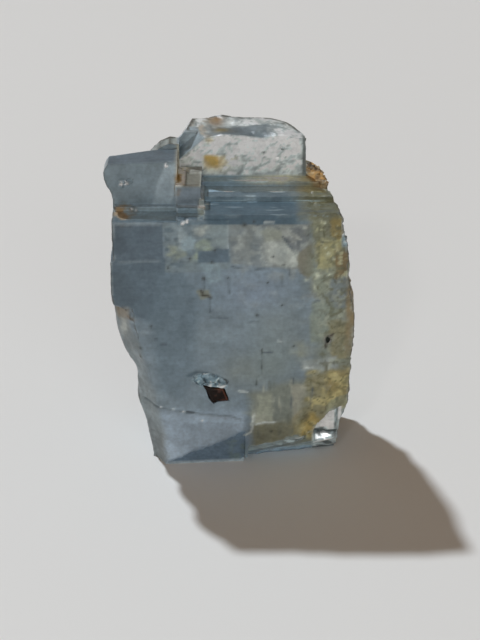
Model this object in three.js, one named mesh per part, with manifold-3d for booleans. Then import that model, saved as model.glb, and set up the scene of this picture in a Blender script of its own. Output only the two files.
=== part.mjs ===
// A hand specimen of blue fluorite, standing on end: one block of cubic crystal grown in
// parallel steps, with broken sides, and one small brown rhombic crystal set in its front face.
// Millimetres, +Z up, the front face towards -Y. The origin is under the middle of the block,
// on the surface it stands on.
import * as THREE from "three";
import { mergeVertices } from "three/addons/utils/BufferGeometryUtils.js";
import Module from "manifold-3d";

const wasm = await Module();
wasm.setup();

// ---- Driving dimensions ------------------------------------------------------------------
const FRONT = -8; // the front cube face
const BACK = 8; // the furthest step of the back
const LAYER_BACK = -6; // the cloudy front layer is 2 mm thick and rests on the clear core
const SHELF_LEFT = 34.7; // height of the shelf in front of the corner block
const SHELF = 35.7; // height of the main shelf, on top of the front layer
const SHELF_BACK = 36.9; // height of the last shelf, in front of the crest
const CORNER_FRONT = -3.9; // the corner block at the top left stands behind its shelf
const CORNER_TOP = 40.9;
const CREST_FRONT = 1; // the clear crest stands behind two more shelves
const CREST_TOP = 42.4;
const RHOMB_CLEARANCE = 0.2; // free space between the brown crystal and its pocket
const POCKET_DEPTH = 1.3;
const SMALLEST = 0.02; // no edge or sliver finer than this stays on a finished solid

// ---- Solids --------------------------------------------------------------------------------
// A closed three.js geometry as a manifold-3d solid.
function solid(geometry) {
  const bare = geometry.index ? geometry.toNonIndexed() : geometry.clone();
  bare.deleteAttribute("normal");
  bare.deleteAttribute("uv");
  const merged = mergeVertices(bare, 1e-4);
  return new wasm.Manifold(
    new wasm.Mesh({
      numProp: 3,
      vertProperties: new Float32Array(merged.attributes.position.array),
      triVerts: new Uint32Array(merged.index.array),
    }),
  );
}

const joined = (pieces) => pieces.reduce((sum, piece) => sum.add(piece));

// A box between two corners, turned by a few degrees about its own vertical and front axes.
function block([x0, x1], [y0, y1], [z0, z1], turn = 0, lean = 0) {
  const box = new THREE.BoxGeometry(x1 - x0, y1 - y0, z1 - z0);
  box.rotateZ(THREE.MathUtils.degToRad(turn));
  box.rotateY(THREE.MathUtils.degToRad(lean));
  box.translate((x0 + x1) / 2, (y0 + y1) / 2, (z0 + z1) / 2);
  return solid(box);
}

// A solid between two outlines of as many points each, given anticlockwise: `near` and `far` hold
// [u, v] pairs, and `place` turns a pair and an end (0 near, 1 far) into a point.
function loft(near, far, place) {
  const caps = [near, far].map((outline) =>
    THREE.ShapeUtils.triangulateShape(outline.map(([u, v]) => new THREE.Vector2(u, v)), []));
  const count = near.length;
  const faces = [...caps[0], ...caps[1].map(([a, b, c]) => [c + count, b + count, a + count])];
  near.forEach((_, i) => {
    const next = (i + 1) % count;
    faces.push([i, i + count, next + count], [i, next + count, next]);
  });
  const points = [...near.map((pair) => place(pair, 0)), ...far.map((pair) => place(pair, 1))];
  const geometry = new THREE.BufferGeometry();
  geometry.setAttribute("position", new THREE.Float32BufferAttribute(points.flat(), 3));
  geometry.setIndex(faces.flat());
  return solid(geometry);
}

// An outline of [x, z] points, anticlockwise as seen from the front, made solid from y0 to y1.
// A second outline gives it another shape at y1, which slopes its sides.
const plate = (outline, y0, y1, far = outline) =>
  loft(outline, far, ([x, z], end) => [x, end ? y1 : y0, z]);

// A plan of [x, y] points, anticlockwise as seen from above, made solid from z1 down to z0.
const pillar = (plan, z0, z1) => loft(plan, plan, ([x, y], end) => [x, y, end ? z0 : z1]);

// Smooth random numbers from 0 to 1 on a lattice of unit cells, the same on every run.
function lattice(i, j, seed) {
  const wave = Math.sin(i * 127.1 + j * 311.7 + seed * 74.7) * 43758.5453;
  return wave - Math.floor(wave);
}
function noise(u, v, seed) {
  const [i, j] = [Math.floor(u), Math.floor(v)];
  const [a, b] = [u - i, v - j].map((t) => t * t * (3 - 2 * t));
  const low = lattice(i, j, seed) * (1 - a) + lattice(i + 1, j, seed) * a;
  const high = lattice(i, j + 1, seed) * (1 - a) + lattice(i + 1, j + 1, seed) * a;
  return low * (1 - b) + high * b;
}

// A thick slab whose near face is a relief. It is taken off the crystal to leave a broken face.
// The slab's near face passes through `at` and looks along -`out`; `along` is its first axis.
function breaker(at, out, along, [width, height], cell, relief, thickness = 30) {
  const normal = new THREE.Vector3(...out).normalize();
  const first = new THREE.Vector3(...along);
  first.addScaledVector(normal, -first.dot(normal)).normalize();
  const second = new THREE.Vector3().crossVectors(normal, first);
  const [columns, rows] = [Math.round(width / cell), Math.round(height / cell)];
  const slab = new THREE.BoxGeometry(width, height, thickness, columns, rows, 1);
  slab.translate(0, 0, thickness / 2);
  const place = slab.attributes.position;
  for (let i = 0; i < place.count; i++) {
    const [u, v] = [place.getX(i), place.getY(i)];
    if (place.getZ(i) < 1e-6) place.setZ(i, relief(u, v));
  }
  slab.applyMatrix4(new THREE.Matrix4().makeBasis(first, second, normal).setPosition(...at));
  return solid(slab);
}

// Reliefs, in millimetres, as functions of two distances on the broken face.
const granular = (seed, depth, grain) => (u, v) =>
  depth * (noise(u / grain, v / grain, seed) - 0.5) +
  0.5 * depth * (noise(u / (0.45 * grain), v / (0.45 * grain), seed + 1) - 0.5);
const shelly = (seed, depth, pitch) => (u, v) => {
  const bend = v + 0.12 * u * u + 1.6 * noise(u / 5, v / 5, seed);
  return -depth * Math.abs(Math.sin((Math.PI * bend) / pitch)) + 0.3 * depth * noise(u / 1.3, v / 1.3, seed + 2);
};
const stepped = (seed, depth, tread) => (u, v) =>
  depth * Math.floor(3 * noise(Math.round(u / tread) * 0.6, Math.round(v / tread) * 0.35, seed));

// ---- The crystal ---------------------------------------------------------------------------
// The clear core, as seen from the front: left side down, base, right side up.
const CORE = [
  [-14.5, 29.4], [-14.85, 29.3], [-14.95, 23.0], [-14.6, 20.0], [-14.5, 18.2], [-14.1, 16.7],
  [-13.2, 15.0], [-12.3, 13.7], [-12.0, 12.1], [-12.1, 8.8], [-11.7, 7.1], [-11.2, 5.6],
  [-10.9, 3.6], [-10.5, 1.4], [-10.2, 0], [13.6, 0], [13.9, 2.9], [14.1, 5.6], [14.7, 6.7],
  [15.05, 7.7], [15.1, 11.0],
  [15.35, 14.0], [15.4, 16.5], [15.6, 19.0], [15.55, 22.0], [15.1, 24.5], [14.6, 25.4],
  [14.8, 27.2], [14.7, 30.6], [14.3, 33.2], [13.9, 35.0], [13.7, SHELF_BACK], [-14.5, SHELF_BACK],
];
// Its plan narrows towards the back, in steps.
const CORE_PLAN = [
  [-16, LAYER_BACK], [16, LAYER_BACK], [15.7, -2.2], [15.1, -2.0], [14.9, 3.1], [14.2, 3.3],
  [13.7, BACK - 1], [-13.0, BACK - 1], [-13.1, 4.4], [-14.1, 4.2], [-14.3, 0.6], [-14.9, 0.4],
];

function core() {
  const whole = plate(CORE, LAYER_BACK, BACK - 1).intersect(pillar(CORE_PLAN, -1, 60));
  const shelves = [
    block([-20, -6.6], [-9, CORNER_FRONT], [SHELF_LEFT, 50]),
    block([-6.6, 20], [-9, CORNER_FRONT + 0.1], [SHELF, 50]),
    block([-6.5, 20], [-9, -0.6], [36.3, 50]),
  ];
  return shelves.reduce((rest, cut) => rest.subtract(cut), whole);
}

// The cloudy layer on the core's front. Its lower left edge is bevelled, and its lower right part
// has broken away along a slant.
const LAYER_LEFT = [
  [-14.5, SHELF_LEFT], [-14.5, 29.4], [-14.85, 29.3], [-14.9, 23.6], [-13.2, 21.0],
  [-11.4, 17.7], [-10.3, 13.8], [-9.7, 9.7], [-8.5, 5.2], [-8.5, 0],
];
const LAYER_LEFT_AT_CORE = [
  [-14.5, SHELF_LEFT], [-14.5, 29.4], [-14.85, 29.3], [-14.95, 23.2], [-14.6, 19.8],
  [-13.9, 16.4], [-12.35, 13.6], [-12.1, 9.2], [-11.1, 5.2], [-10.2, 0],
];
const LAYER_REST = [
  [1.7, 0], [1.7, 1.0], [5.0, 1.6], [9.0, 2.9], [9.6, 3.9], [10.8, 5.6], [11.4, 6.7], [12.7, 7.9],
  [13.8, 8.2], [15.05, 8.9],
  [15.3, 14.0], [15.55, 19.0], [15.5, 22.0], [15.0, 24.5], [14.6, 27.2], [14.6, 30.6],
  [14.2, 33.2], [13.8, 35.0], [13.6, SHELF], [-3.3, SHELF], [-3.3, 35.1], [-6.6, 35.1], [-6.6, SHELF_LEFT],
];

const frontLayer = () =>
  plate([...LAYER_LEFT, ...LAYER_REST], FRONT, LAYER_BACK + 0.4, [...LAYER_LEFT_AT_CORE, ...LAYER_REST]);

// A fold across the clear lower right corner, seen from the right, at its right and left ends.
const FOLD = [[-6.4, 1.77], [-5.4, 3.3], [-6.4, 4.75]];
const FOLD_LEFT = [[-6.4, 0.86], [-4.81, 3.3], [-6.4, 4.55]];

const fold = () => loft(FOLD, FOLD_LEFT, ([y, z], end) => [end ? 10.8 : 14.2, y, z]);

// The corner block, as seen from the front, and as it is at its back.
const CORNER = [
  [-14.4, 33.8], [-6.55, 33.8], [-6.55, CORNER_TOP + 0.1], [-15.0, CORNER_TOP - 0.3],
  [-15.3, 40.2], [-15.6, 39.5], [-15.5, 38.5], [-15.2, 37.7], [-14.7, 36.7], [-14.4, 35.4],
];
// A small clear chip that leans on the corner block's back.
const CHIP = [
  [-10.3, 38.0], [-6.4, 38.0], [-6.4, 41.4], [-7.0, 41.5], [-7.6, 41.6], [-8.8, 41.05], [-10.1, 39.9],
];
// The crest, as seen from above.
const CREST = [
  [-6.7, CREST_FRONT], [9.4, CREST_FRONT], [9.2, 1.9], [7.3, 4.5], [4.6, 6.3], [-1.5, 6.9],
  [-4.4, 6.5], [-6.1, 5.3], [-6.75, 4.1],
];

// The blocks that rise behind the shelves: the corner block, some small steps and the clear crest.
function topBlocks() {
  const corner = plate(CORNER, CORNER_FRONT, 0.8)
    .subtract(breaker([-10.8, -0.2, 38], [-0.24, 1, 0.05], [1, 0, 0], [24, 14], 1.6, granular(3, 0.25, 2)));
  const crest = breaks(CREST_BREAKS, pillar(CREST, SHELF_BACK - 1, CREST_TOP + 1.5));
  return [
    corner,
    crest,
    block([-14.3, -6.5], [-4.7, -3.5], [33, 35.3], 0.4),
    block([-13.9, -6.5], [-2, BACK - 1.3], [30, SHELF_BACK + 0.3]),
    block([-12.6, -5.9], [-1, 5.2], [30, 38.1], -1.5),
    plate(CHIP, 0.3, 2.7),
    block([-6.7, -3.6], [-5, 2], [33, 38.3], -0.6),
    block([-3.9, -3.2], [-5.4, 0], [33, 36.5]),
    block([-6.6, -3.6], [-3, 2], [33, 36.9], 0.5),
    block([9.2, 11.1], [0.6, 4.6], [34, 36.6], -4),
  ];
}

// Thin growth plates on the front face: [left, right, bottom, top, how far it stands proud].
const FRONT_PLATES = [
  [-14.8, -5.6, 15.5, 29.4, 0.17], [-14.45, -8.7, 29.2, 34.1, 0.07], [-6.4, -0.2, 31.2, 35.05, 0.2],
  [-5.2, -1.7, 32.6, 34.4, 0.25], [-0.4, 8.7, 29.1, 34.9, 0.12], [-8.6, -4.0, 29.0, 31.4, 0.14],
  [-4.6, 7.6, 14.4, 28.8, 0.08], [-1.2, 3.7, 19.6, 27.2, 0.13], [3.9, 9.2, 4.6, 17.0, 0.1],
  [5.6, 8.4, 5.8, 12.4, 0.16], [-8.4, 2.6, 8.1, 14.65, 0.06],
];
// The same on the back face, where most of them run out to the sides, the base or the shelf.
const BACK_PLATES = [
  [-13, 4.8, 0, 20.4, 0.26], [-13, 1.1, 0, 13.8, 0.52], [-13, -7.2, 0, 17.3, 0.74],
  [-6.1, -2.2, 0, 7.9, 0.78], [4.4, 13.7, 0, 9.6, 0.16], [6.3, 13.7, 15.2, SHELF_BACK, 0.38],
  [9.4, 13.7, 20.3, 31.4, 0.62], [-9.9, 8.2, 26.4, SHELF_BACK, 0.22], [-4.6, 3.1, 29.1, SHELF_BACK, 0.56],
  [-4.6, -0.6, 31.9, SHELF_BACK, 1.0], [-13, -11.1, 22.3, 31.2, 0.45], [-13, -6.6, 23.4, 24.9, 0.2],
];

function growthPlates() {
  const onFront = FRONT_PLATES.map(([x0, x1, z0, z1, proud]) =>
    block([x0, x1], [FRONT - proud, FRONT + 1], [z0, z1]));
  const onBack = BACK_PLATES.map(([x0, x1, z0, z1, proud]) =>
    block([x0, x1], [BACK - 2, BACK - 1 + proud], [z0, z1]));
  return [...onFront, joined(onBack).intersect(plate(CORE, BACK - 3, BACK + 1))];
}

// Broken faces. Each entry is a slab with a relief on its near face, taken off a solid.
const breaks = (list, whole) =>
  list.reduce((rest, [at, out, along, size, cell, relief]) =>
    rest.subtract(breaker(at, out, along, size, cell, relief)), whole);

const CREST_BREAKS = [
  // The uneven top.
  [[1.4, 4, CREST_TOP], [0, -0.09, 1], [1, 0, 0], [24, 12], 0.85,
    (u, v) => 0.2 - 0.004 * u * u + 0.75 * (noise(u / 2.4, v / 1.4, 21) - 0.5)],
  // The slanting facet on its upper left corner.
  [[-4.9, CREST_FRONT, 40.7], [-0.62, -0.35, 0.7], [0, 1, 0], [3.4, 12], 1.2, granular(23, 0.12, 2)],
  [[-5.6, 4.6, 42.0], [-0.78, 0.2, 0.6], [0, 1, 0], [12, 8], 0.9, granular(14, 0.3, 1.6)],
  // Its leaning back.
  [[1.4, 7.1, 40.4], [0.08, 1, 0.2], [1, 0, 0], [24, 12], 1.3, shelly(25, 0.4, 3.1)],
];

const BODY_BREAKS = [
  // The lower left bevel is a shelly fracture.
  [[-12.0, -6.75, 10.5], [-0.72, -0.69, -0.1], [0.07, 0, 1], [25, 8], 0.9, shelly(11, 0.3, 3.6)],
  // The right front edge is granular and leans back a little.
  [[12.3, -7.7, 21.5], [0.15, -1, 0.02], [0, 0, 1], [29, 8.4], 0.85, granular(5, 0.45, 1.5)],
  // The right shoulder, from the shelves down to the right side.
  [[12.75, -2.0, 34.5], [0.96, 0.19, 0.21], [0, 1, 0], [24, 26], 1.0, granular(8, 0.5, 1.6)],
  // The front of the base: a dark cleaved facet at the left, and a glassy slope at the right.
  [[-10.2, -8.14, 0], [0.079, -0.985, -0.152], [1, 0, 0], [24, 30], 4, () => 0],
  [[13.75, -3.64, 0], [0.135, -0.74, -0.66], [0.983, 0.184, 0], [24.4, 14], 0.9, shelly(17, 0.22, 3.3)],
  // Shelly fractures on the left side, behind its front steps.
  [[-13.7, 3.4, 12.5], [-1, 0.2, -0.12], [0, 1, 0], [6.4, 17], 1.0, shelly(61, 0.35, 3.7)],
  [[-13.9, 4.6, 30.0], [-1, 0.3, 0.1], [0, 1, 0], [6.0, 9], 1.0, shelly(67, 0.3, 2.9)],
  // Cleavage planes on the back corners, at the angle of an octahedron to the cube.
  [[11.9, 4.4, 36.0], [1, 1, 1], [-1, 1, 0], [34, 22], 2.1, stepped(43, 0.35, 2.1)],
  [[-13.2, 6.2, 8.0], [-1, 1, -1], [1, 1, 0], [34, 30], 2.2, stepped(41, 0.5, 2.2)],
  [[-13.2, 6.4, 31.5], [-1, 1, 0.9], [1, 1, 0], [30, 24], 2.2, stepped(47, 0.4, 2.2)],
  [[13.4, 6.4, 4.4], [1, 1, -0.9], [-1, 1, 0], [30, 24], 1.6, shelly(51, 0.5, 3.4)],
];

// Pits in the faces: flattened low-sided balls, [x, y, z, half width, half depth, half height].
const PITS = [
  [-2.9, FRONT - 0.1, 12.9, 2.1, 0.75, 0.75], [-1.2, FRONT - 0.1, 12.4, 1.0, 0.8, 0.6],
  [-3.9, FRONT - 0.1, 12.4, 0.7, 0.6, 0.5], [12.2, -7.0, 18.4, 0.35, 0.9, 0.9],
  [-13.2, CORNER_FRONT, 38.3, 0.5, 0.25, 0.32], [-12.5, CORNER_FRONT, 38.4, 0.45, 0.25, 0.3],
  [-11.9, CORNER_FRONT - 0.8, 34.9, 0.5, 0.3, 0.3], [-5.0, FRONT - 0.4, 34.3, 0.5, 0.3, 0.4],
  [6.4, CREST_FRONT, 40.7, 0.3, 0.3, 0.25],
];

function pits() {
  return PITS.map(([x, y, z, rx, ry, rz], i) => {
    const ball = new THREE.IcosahedronGeometry(1, 1);
    ball.rotateY(i * 0.9);
    ball.scale(rx, ry, rz);
    ball.translate(x, y, z);
    return solid(ball);
  });
}

// Rusty lumps on the shelf at the right of the crest, grown into the crystal.
const LUMPS = 22;
function crustLumps() {
  return Array.from({ length: LUMPS }, (_, i) => {
    const t = i / (LUMPS - 1);
    const lump = new THREE.IcosahedronGeometry(0.42 + 0.33 * lattice(i, 1, 61), 0);
    lump.rotateX(i * 1.7);
    lump.rotateZ(i * 2.3);
    lump.translate(9.9 + 2.0 * Math.sqrt(t) - 0.7 * lattice(i, 2, 61), 4.9 - 5.4 * t,
      36.9 - 0.7 * t + 0.3 * (lattice(i, 4, 61) - 0.5));
    return solid(lump);
  });
}

// ---- The brown crystal ---------------------------------------------------------------------
const RHOMB_OUTLINE = [
  [-3.5, 11.8], [-3.0, 11.1], [-2.65, 10.1], [-2.25, 9.4], [-1.8, 9.7], [-0.45, 9.75],
  [-1.05, 11.3], [-2.6, 11.45],
];

// The outline moved outwards from its middle by a distance at every point.
function grown(outline, distance) {
  const middle = outline.reduce((sum, [x, z]) => [sum[0] + x, sum[1] + z], [0, 0])
    .map((total) => total / outline.length);
  return outline.map(([x, z]) => {
    const reach = Math.hypot(x - middle[0], z - middle[1]);
    const scale = (reach + distance) / reach;
    return [middle[0] + (x - middle[0]) * scale, middle[1] + (z - middle[1]) * scale];
  });
}

function brownRhomb() {
  const back = FRONT + POCKET_DEPTH - RHOMB_CLEARANCE;
  const body = plate(RHOMB_OUTLINE, FRONT - 0.1, back);
  const worn = breaker([-0.6, FRONT - 0.05, 10.6], [0.5, -1, 0.2], [0, 0, 1], [6, 4], 1, () => 0, 3);
  return body.subtract(worn).asOriginal().simplify(SMALLEST);
}

function fluorite() {
  const pocket = plate(grown(RHOMB_OUTLINE, 1.4 * RHOMB_CLEARANCE), FRONT - 3, FRONT + POCKET_DEPTH);
  const body = breaks(BODY_BREAKS, joined([core(), frontLayer(), ...growthPlates()]));
  const grownTogether = joined([body, ...topBlocks(), ...crustLumps()]);
  const standing = [...pits(), fold()].reduce((rest, cut) => rest.subtract(cut), grownTogether)
    .subtract(block([-30, 30], [-30, 30], [-20, 0]));
  return standing.subtract(pocket).asOriginal().simplify(SMALLEST);
}

// ---- The specimen --------------------------------------------------------------------------
// A manifold-3d solid as a named three.js mesh with flat faces.
function named(name, made, material) {
  const { numProp, vertProperties, triVerts } = made.getMesh();
  const places = Float32Array.from({ length: (vertProperties.length / numProp) * 3 },
    (_, i) => vertProperties[Math.floor(i / 3) * numProp + (i % 3)]);
  const geometry = new THREE.BufferGeometry();
  geometry.setAttribute("position", new THREE.BufferAttribute(places, 3));
  geometry.setIndex(new THREE.BufferAttribute(new Uint32Array(triVerts), 1));
  geometry.computeVertexNormals();
  const piece = new THREE.Mesh(geometry, material);
  piece.name = name;
  return piece;
}

const BLUE_GREY = new THREE.MeshStandardMaterial({
  color: 0x6f8290, roughness: 0.25, metalness: 0, flatShading: true,
});
const RUST_BROWN = new THREE.MeshStandardMaterial({
  color: 0x3c231b, roughness: 0.4, metalness: 0, flatShading: true,
});

const specimen = new THREE.Group();
const crystal = fluorite();
specimen.add(named("fluorite_crystal", crystal, BLUE_GREY));
specimen.add(named("brown_rhomb", brownRhomb(), RUST_BROWN));

// The crystal's own box is centred over the origin, with its lowest face on Z = 0.
const { min, max } = crystal.boundingBox();
for (const piece of specimen.children)
  piece.position.set(-(min[0] + max[0]) / 2, -(min[1] + max[1]) / 2, -min[2]);

export default specimen;
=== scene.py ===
"""A hand specimen of blue fluorite on a pale floor: one block of stepped, intergrown crystal
with a clear crest and rusty edges, and a small brown crystal set in its front face."""

import bmesh
import bpy
import numpy as np
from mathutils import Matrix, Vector


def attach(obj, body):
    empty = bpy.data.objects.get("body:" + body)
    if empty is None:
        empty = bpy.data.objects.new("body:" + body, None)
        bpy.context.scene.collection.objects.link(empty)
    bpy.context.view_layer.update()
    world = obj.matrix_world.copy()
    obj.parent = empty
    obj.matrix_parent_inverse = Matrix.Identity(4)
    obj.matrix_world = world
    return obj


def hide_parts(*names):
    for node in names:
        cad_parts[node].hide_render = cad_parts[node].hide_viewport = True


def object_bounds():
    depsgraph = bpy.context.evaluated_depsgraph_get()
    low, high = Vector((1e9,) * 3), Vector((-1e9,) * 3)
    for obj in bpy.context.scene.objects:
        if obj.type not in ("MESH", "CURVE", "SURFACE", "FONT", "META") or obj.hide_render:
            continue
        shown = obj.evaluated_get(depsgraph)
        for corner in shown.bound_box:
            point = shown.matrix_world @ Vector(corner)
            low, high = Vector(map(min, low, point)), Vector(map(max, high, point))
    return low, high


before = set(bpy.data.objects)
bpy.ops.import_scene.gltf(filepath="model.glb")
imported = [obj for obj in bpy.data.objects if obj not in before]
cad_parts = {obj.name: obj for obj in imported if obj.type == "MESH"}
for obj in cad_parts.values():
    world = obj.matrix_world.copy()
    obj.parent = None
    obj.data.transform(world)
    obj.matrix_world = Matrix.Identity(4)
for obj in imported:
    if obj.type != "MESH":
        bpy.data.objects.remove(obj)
cad_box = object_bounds()

# ---- The fluorite ------------------------------------------------------------------------------
# The real piece is a single crystal group, broken off its rock: cube faces grown in thin steps,
# cloudy blue-grey inside, glass-clear along its top, and etched, granular and iron-stained along
# its right edge. Its form is the frame's solid; here its faces get their fine growth and wear.
MM = 0.001  # metres


def even_net(source, depth):
    """The solid as a net of even quads that keeps its edges, in millimetres. A quad is as wide as
    the solid's longest side divided by 0.75 * 2^depth."""
    bm = bmesh.new()
    bm.from_mesh(source.data)
    bmesh.ops.remove_doubles(bm, verts=bm.verts, dist=1e-7)
    bmesh.ops.scale(bm, verts=bm.verts, vec=(1 / MM,) * 3)
    whole = bpy.data.meshes.new("whole")
    bm.to_mesh(whole)
    bm.free()
    holder = bpy.data.objects.new("holder", whole)
    bpy.context.scene.collection.objects.link(holder)
    net = holder.modifiers.new("net", "REMESH")
    net.mode, net.octree_depth, net.scale, net.sharpness = "SHARP", depth, 0.75, 1.0
    made = bpy.data.meshes.new_from_object(holder.evaluated_get(bpy.context.evaluated_depsgraph_get()))
    bpy.data.objects.remove(holder)
    return made


def hashed(cell, seed):
    """A repeatable random number from 0 to 1 for each row of whole numbers in cell. The large odd
    numbers only scramble its bits."""
    big = np.uint64(0xFFFFFFFF)
    mixed = (cell[..., 0] * 374761393 + cell[..., 1] * 668265263 + cell[..., 2] * 2147483629
             + seed * 974634777)
    mixed = mixed.astype(np.int64).astype(np.uint64) & big
    mixed = ((mixed ^ (mixed >> np.uint64(13))) * np.uint64(1274126177)) & big
    mixed = ((mixed ^ (mixed >> np.uint64(16))) * np.uint64(2246822519)) & big
    return ((mixed ^ (mixed >> np.uint64(15))) & big).astype(float) / float(0xFFFFFFFF)


def noise(points, size, seed, octaves=1):
    """Value noise from -1 to 1: random numbers on a cubic lattice of the given cell size, blended
    inside each cell by 3t^2 - 2t^3 along each axis. Each further octave has half the size and weight."""
    total, weight = np.zeros(len(points)), 0.0
    for octave in range(octaves):
        place = points / (np.array(size) * 0.5**octave) + 17.3 * octave
        corner = np.floor(place).astype(np.int64)
        t = place - corner
        t = t * t * (3 - 2 * t)
        value = np.zeros(len(points))
        for offset in np.ndindex(2, 2, 2):
            share = np.prod(np.where(np.array(offset), t, 1 - t), axis=1)
            value += share * hashed(corner + np.array(offset), seed + octave)
        total += 0.5**octave * (2 * value - 1)
        weight += 0.5**octave
    return total / weight


def grains(points, size, seed):
    """Facets: each point belongs to the nearest of one random seed point per lattice cell, and its
    value is the height there of that grain's own tilted plane, about -0.5 to 0.5."""
    place = points / size
    home = np.floor(place).astype(np.int64)
    nearest, value = np.full(len(points), 1e9), np.zeros(len(points))
    for offset in np.ndindex(3, 3, 3):
        cell = home + np.array(offset) - 1
        middle = cell + np.stack([hashed(cell, seed + i) for i in range(3)], axis=1)
        tilt = np.stack([hashed(cell, seed + i) for i in range(3, 6)], axis=1) - 0.5
        away = place - middle
        distance = (away**2).sum(axis=1)
        closer = distance < nearest
        nearest = np.where(closer, distance, nearest)
        value = np.where(closer, (away * tilt).sum(axis=1) + hashed(cell, seed + 6) - 0.5, value)
    return value


def bricks(points, size, seed):
    """Random heights from 0 to 1 on a wall of bricks of the given size, each course and each row
    of bricks moved along by its own random amount: the thin square steps of a cube face."""
    across, deep, high = size
    course = np.floor(points[:, 2] / high + 0.35 * noise(points, 6.0, seed)).astype(np.int64)
    zero = np.zeros_like(course)
    row = np.floor(points[:, 1] / deep
                   + 3 * hashed(np.stack([course, zero, zero], 1), seed)).astype(np.int64)
    column = np.floor(points[:, 0] / across
                      + 3 * hashed(np.stack([course, row, zero], 1), seed + 1)).astype(np.int64)
    return hashed(np.stack([column, row, course], axis=1), seed + 2)


def ramp(value, low, high):
    """0 up to low, 1 from high, and 3t^2 - 2t^3 between; low may be the larger, for a falling ramp."""
    t = np.clip((value - low) / (high - low), 0, 1)
    return t * t * (3 - 2 * t)


def patch(u, v, left, right, bottom, top, soft=0.4):
    """1 inside a rectangle, falling to 0 over the distance soft on each side of its edge."""
    across = ramp(u, left - soft, left + soft) * ramp(u, right + soft, right - soft)
    return across * ramp(v, bottom - soft, bottom + soft) * ramp(v, top + soft, top - soft)


def off_line(u, v, points):
    """How far each place is from the line through the points."""
    ends, place = np.array(points, float), np.stack([u, v], axis=1)
    nearest = np.full(len(u), 1e9)
    for start, along in zip(ends[:-1], np.diff(ends, axis=0)):
        t = np.clip(((place - start) @ along) / (along @ along), 0, 1)
        nearest = np.minimum(nearest, np.linalg.norm(place - start - t[:, None] * along, axis=1))
    return nearest


def line(u, v, points, width):
    """1 on the line through the points, falling to 0 at width from it."""
    return ramp(off_line(u, v, points), width, 0)


def area(u, v, corners, soft):
    """1 inside the outline through the corners, falling to 0 at the distance soft outside it. A place
    is inside where a line from it to the right crosses the outline an odd number of times."""
    inside = np.zeros(len(u), bool)
    for start, end in zip(corners, corners[1:] + corners[:1]):
        run, climb = end[0] - start[0], end[1] - start[1]
        between = (start[1] > v) != (end[1] > v)
        inside ^= between & (u < start[0] + (v - start[1]) * run / (climb or 1.0))
    return np.where(inside, 1.0, ramp(off_line(u, v, corners + corners[:1]), soft, 0))


def spot(u, v, middle, size, slant=0.0):
    """A soft oval spot: exp(-r^2), r measured in the spot's own half width and half height."""
    du, dv = u - middle[0], v - middle[1]
    along, across = du * np.cos(slant) + dv * np.sin(slant), dv * np.cos(slant) - du * np.sin(slant)
    return np.exp(-((along / size[0]) ** 2) - (across / size[1]) ** 2)


def ridge(points, size, seed, width, octaves=2):
    """Thin winding lines: 1 where the noise passes through 0, falling to 0 at width from there."""
    return ramp(np.abs(noise(points, size, seed, octaves)), width, 0)


def read(mesh):
    """A mesh's vertex places and normals as two arrays."""
    place, normal = np.zeros(len(mesh.vertices) * 3), np.zeros(len(mesh.vertices) * 3)
    mesh.vertices.foreach_get("co", place)
    mesh.vertex_normals.foreach_get("vector", normal)
    return place.reshape(-1, 3), normal.reshape(-1, 3)


def edge_ends(mesh):
    """The numbers of the vertices at the two ends of each edge, and how many edges each vertex has."""
    ends = np.zeros(len(mesh.edges) * 2, dtype=np.int64)
    mesh.edges.foreach_get("vertices", ends)
    return *ends.reshape(-1, 2).T, np.bincount(ends, minlength=len(mesh.vertices))


def beside(a, b, values):
    """The sum of a value over each vertex's neighbours, from the ends of the edges."""
    return np.bincount(a, values[b], len(values)) + np.bincount(b, values[a], len(values))


def outward_corner(mesh, place, normal):
    """How sharply each vertex sticks out: the mean of (normal there - normal here) along the edge to
    each neighbour, blended with the neighbours' own. It is about 0.3 on a square outer edge, 0 on a
    flat and -0.3 in a square corner."""
    a, b, degree = edge_ends(mesh)
    along = place[b] - place[a]
    along /= np.maximum(np.linalg.norm(along, axis=1), 1e-6)[:, None]
    turn = ((normal[b] - normal[a]) * along).sum(axis=1)
    sharp = (np.bincount(a, turn, len(place)) + np.bincount(b, turn, len(place))) / degree
    return 0.6 * sharp + 0.8 * beside(a, b, sharp) / degree


def softened(mesh, place, share, rounds):
    """The places after some rounds. In each, a vertex moves by its share of the way to the mean of
    its neighbours: place + share * (mean - place)."""
    a, b, degree = edge_ends(mesh)
    for _ in range(rounds):
        mean = np.stack([beside(a, b, place[:, i]) for i in range(3)], axis=1) / degree[:, None]
        place = place + share[:, None] * (mean - place)
    return place


FACE, BACK_FACE = -7.875, 7.13  # where the front and the back lie, in y
crystal = even_net(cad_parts["fluorite_crystal"], depth=8)
place, normal = read(crystal)
count = len(place)
# Thin growth plates stand out on both faces. The front's are worn to 0.4 of their height, the
# back's to 0.7.
for plane, left, out in ((FACE, 0.4, place[:, 1] < FACE), (BACK_FACE, 0.7, place[:, 1] > BACK_FACE)):
    place[:, 1] = np.where(out, plane + left * (place[:, 1] - plane), place[:, 1])
# The shelly fractures on the left are smooth and curved.
x, y, z = place.T
left_edge = np.interp(z, [0, 5.2, 9.7, 13.8, 17.7, 21, 23.4, 25],
                      [-8.2, -8.4, -9.6, -10.3, -11.3, -12.8, -14.0, -14.4])
shelly = ramp(x, left_edge + 0.3, left_edge - 0.3) * ramp(z, 25.0, 24.0) * ramp(z, 0.2, 1.5)
place = softened(crystal, place, 0.9 * shelly, 16)
# So are the edges of the steps on the back, here and there.
lost = (ramp(noise(place, 4.0, 15, 3), -0.05, 0.3) * ramp(place[:, 1], 5.0, 6.0)
        * ramp(place[:, 2], 0.2, 1.5))
place = softened(crystal, place, 0.9 * lost * ramp(place[:, 2], 36.6, 35.6), 24)
crystal.vertices.foreach_set("co", place.ravel())
crystal.update()
place, normal = read(crystal)
x, y, z = place.T

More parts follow.
